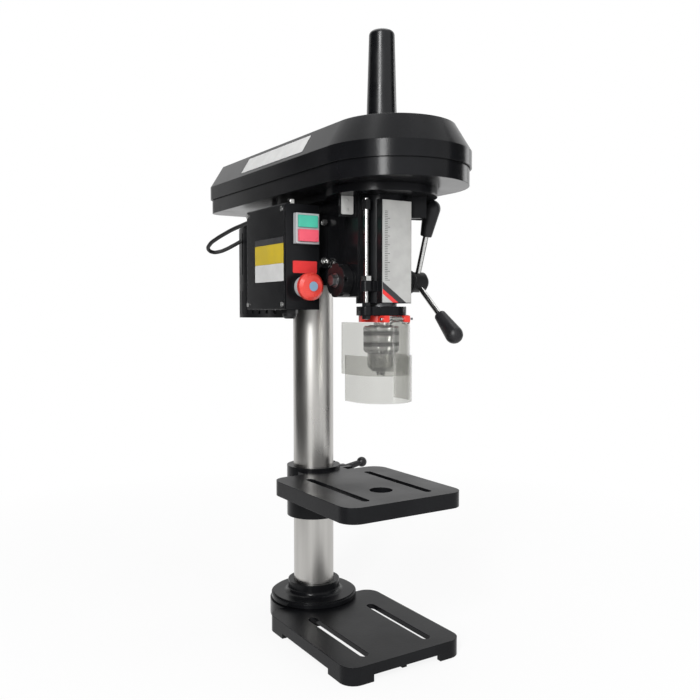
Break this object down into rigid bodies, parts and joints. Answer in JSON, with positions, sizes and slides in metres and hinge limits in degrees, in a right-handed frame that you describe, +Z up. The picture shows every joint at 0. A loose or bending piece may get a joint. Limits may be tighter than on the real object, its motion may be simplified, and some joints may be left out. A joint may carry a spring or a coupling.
{
  "type": "benchtop drill press",
  "caption": "Benchtop drill press with belt housing and cover tube on a round column, feed handle, sliding quill with keyed chuck, clear guard, tilt-free lifting table and slotted base.",
  "frame": {"origin": "on the standing plane, on the column's axis, where the base's middle boss stands", "axes": "Z up along the column, front and spindle towards -Y, the operator's right +X"},
  "size_m": [0.2228, 0.485, 0.813],
  "materials": {
    "cast_black": "gloss black paint on cast iron",
    "sheet_black": "semi-gloss black paint",
    "motor_black": "satin black paint",
    "column_steel": "drawn steel tube",
    "bright_steel": "turned bright steel",
    "dark_steel": "dull steel",
    "hub_black": "black paint",
    "grip_black": "glossy moulded plastic",
    "tube_black": "moulded plastic",
    "pulley_alloy": "turned aluminium",
    "belt_rubber": "rubber and cloth",
    "lead_rubber": "smooth cable sheath",
    "guard_red": "moulded red plastic",
    "guard_clear": "clear moulded plastic",
    "plate_grey": "pale printed plate",
    "switch_grey": "moulded grey plastic",
    "start_green": "moulded green plastic",
    "stop_red": "moulded red plastic"
  },
  "bodies": {
    "stand": {"base": "cast_black", "column_flange": "cast_black", "flange_bolts": "dark_steel", "head_casting": "cast_black", "head_bolts": "dark_steel", "pulley_bearing": "bright_steel", "feed_bush": "dark_steel", "return_spring": "dark_steel", "spring_cap": "hub_black", "rod_bush": "bright_steel", "scale_plate": "plate_grey", "belt_tray": "sheet_black", "tray_hinges": "dark_steel", "idler_arm": "dark_steel", "front_belt": "belt_rubber", "rear_belt": "belt_rubber", "switch_box": "sheet_black", "switch_panel": "sheet_black", "box_screws": "bright_steel", "switch_body": "switch_grey", "estop_base": "switch_grey", "motor_lead": "lead_rubber"},
    "column": {"column": "column_steel"},
    "table": {"table": "cast_black", "clamp_bolt": "dark_steel"},
    "clamp_lever": {"clamp_lever": "grip_black"},
    "quill": {"quill": "dark_steel", "quill_collar": "cast_black", "spindle_bearings": "bright_steel", "depth_rod": "bright_steel", "depth_rod_nuts": "bright_steel", "guard_bracket": "guard_red", "guard_pin": "bright_steel", "guard_screw": "dark_steel"},
    "depth_stop": {"stop_nuts": "dark_steel"},
    "spindle": {"spindle": "bright_steel", "chuck_body": "bright_steel"},
    "chuck_sleeve": {"chuck_sleeve": "bright_steel"},
    "jaw_1": {"chuck_jaw_1": "dark_steel"},
    "jaw_2": {"chuck_jaw_2": "dark_steel"},
    "jaw_3": {"chuck_jaw_3": "dark_steel"},
    "feed": {"feed_shaft": "dark_steel", "feed_hub": "hub_black", "feed_rods": "bright_steel", "feed_knobs": "grip_black"},
    "upper_guard": {"upper_shield": "guard_clear"},
    "lower_guard": {"lower_shield": "guard_clear"},
    "lid": {"belt_lid": "sheet_black", "spindle_tube": "tube_black"},
    "motor": {"motor_body": "motor_black", "motor_cowl": "motor_black", "motor_plate": "sheet_black", "slide_rods": "bright_steel"},
    "rotor": {"motor_rotor": "dark_steel", "motor_pulley": "pulley_alloy"},
    "idler": {"idler_pulley": "pulley_alloy"},
    "spindle_drive": {"spindle_pulley": "pulley_alloy"},
    "start": {"start_button": "start_green"},
    "stop": {"stop_button": "stop_red"},
    "emergency": {"estop_head": "stop_red"}
  },
  "joints": [
    {"name": "table_swing", "type": "hinge", "parent": "stand", "child": "column", "pos_m": [0, 0, 0.3], "axis": [0, 0, 1], "range_deg": [-90, 90]},
    {"name": "table_lift", "type": "slide", "parent": "column", "child": "table", "axis": [0, 0, 1], "range_m": [-0.095, 0.05]},
    {"name": "clamp_turn", "type": "hinge", "parent": "table", "child": "clamp_lever", "pos_m": [0.051, 0.02, 0.2035], "axis": [0, 1, 0], "range_deg": [-45, 45]},
    {"name": "quill_slide", "type": "slide", "parent": "stand", "child": "quill", "axis": [0, 0, -1], "range_m": [0, 0.06], "stiffness_N_per_m": 260, "springref_m": -0.16},
    {"name": "stop_set", "type": "slide", "parent": "quill", "child": "depth_stop", "axis": [0, 0, -1], "range_m": [0, 0.02]},
    {"name": "spindle_spin", "type": "hinge", "parent": "quill", "child": "spindle", "pos_m": [0, -0.18, 0.5], "axis": [0, 0, 1], "continuous": true},
    {"name": "sleeve_turn", "type": "hinge", "parent": "spindle", "child": "chuck_sleeve", "pos_m": [0, -0.18, 0.42], "axis": [0, 0, 1], "range_deg": [0, 300]},
    {"name": "jaw_1_slide", "type": "slide", "parent": "spindle", "child": "jaw_1", "axis": [-0.2241, -0.1294, -0.9659], "range_m": [0, 0.004]},
    {"name": "jaw_2_slide", "type": "slide", "parent": "spindle", "child": "jaw_2", "axis": [0.2241, -0.1294, -0.9659], "range_m": [0, 0.004]},
    {"name": "jaw_3_slide", "type": "slide", "parent": "spindle", "child": "jaw_3", "axis": [0, 0.2588, -0.9659], "range_m": [0, 0.004]},
    {"name": "feed_turn", "type": "hinge", "parent": "stand", "child": "feed", "pos_m": [0.05, -0.1517, 0.495], "axis": [1, 0, 0], "range_deg": [0, 327.4]},
    {"name": "guard_flip", "type": "hinge", "parent": "quill", "child": "upper_guard", "pos_m": [0, -0.212, 0.445], "axis": [-1, 0, 0], "range_deg": [0, 85]},
    {"name": "guard_slide", "type": "slide", "parent": "upper_guard", "child": "lower_guard", "axis": [0, 0, 1], "range_m": [0, 0.035]},
    {"name": "lid_open", "type": "hinge", "parent": "stand", "child": "lid", "pos_m": [0.102, 0, 0.628], "axis": [0, 1, 0], "range_deg": [0, 95]},
    {"name": "motor_slide", "type": "slide", "parent": "stand", "child": "motor", "axis": [0, 1, 0], "range_m": [-0.012, 0.004], "deforming": ["rear_belt", "motor_lead"]},
    {"name": "motor_spin", "type": "hinge", "parent": "motor", "child": "rotor", "pos_m": [0, 0.12, 0.55], "axis": [0, 0, 1], "continuous": true},
    {"name": "idler_spin", "type": "hinge", "parent": "stand", "child": "idler", "pos_m": [0, -0.03, 0.64], "axis": [0, 0, 1], "continuous": true},
    {"name": "drive_spin", "type": "hinge", "parent": "stand", "child": "spindle_drive", "pos_m": [0, -0.18, 0.64], "axis": [0, 0, 1], "continuous": true},
    {"name": "start_press", "type": "slide", "parent": "stand", "child": "start", "axis": [0, 1, 0], "range_m": [0, 0.003], "stiffness_N_per_m": 300, "springref_m": -0.004},
    {"name": "stop_press", "type": "slide", "parent": "stand", "child": "stop", "axis": [0, 1, 0], "range_m": [0, 0.003], "stiffness_N_per_m": 300, "springref_m": -0.004},
    {"name": "emergency_press", "type": "slide", "parent": "stand", "child": "emergency", "axis": [0, 1, 0], "range_m": [0, 0.003]}
  ],
  "couplings": [
    {"joint": "feed_turn", "follows": "quill_slide", "rad_per_m": 95.238},
    {"joint": "idler_spin", "follows": "motor_spin", "ratio": 1.2963},
    {"joint": "drive_spin", "follows": "motor_spin", "ratio": 1.6804},
    {"joint": "spindle_spin", "follows": "motor_spin", "ratio": 1.6804},
    {"joint": "sleeve_turn", "follows": "jaw_1_slide", "rad_per_m": 1309},
    {"joint": "jaw_2_slide", "follows": "jaw_1_slide", "ratio": 1},
    {"joint": "jaw_3_slide", "follows": "jaw_1_slide", "ratio": 1}
  ]
}
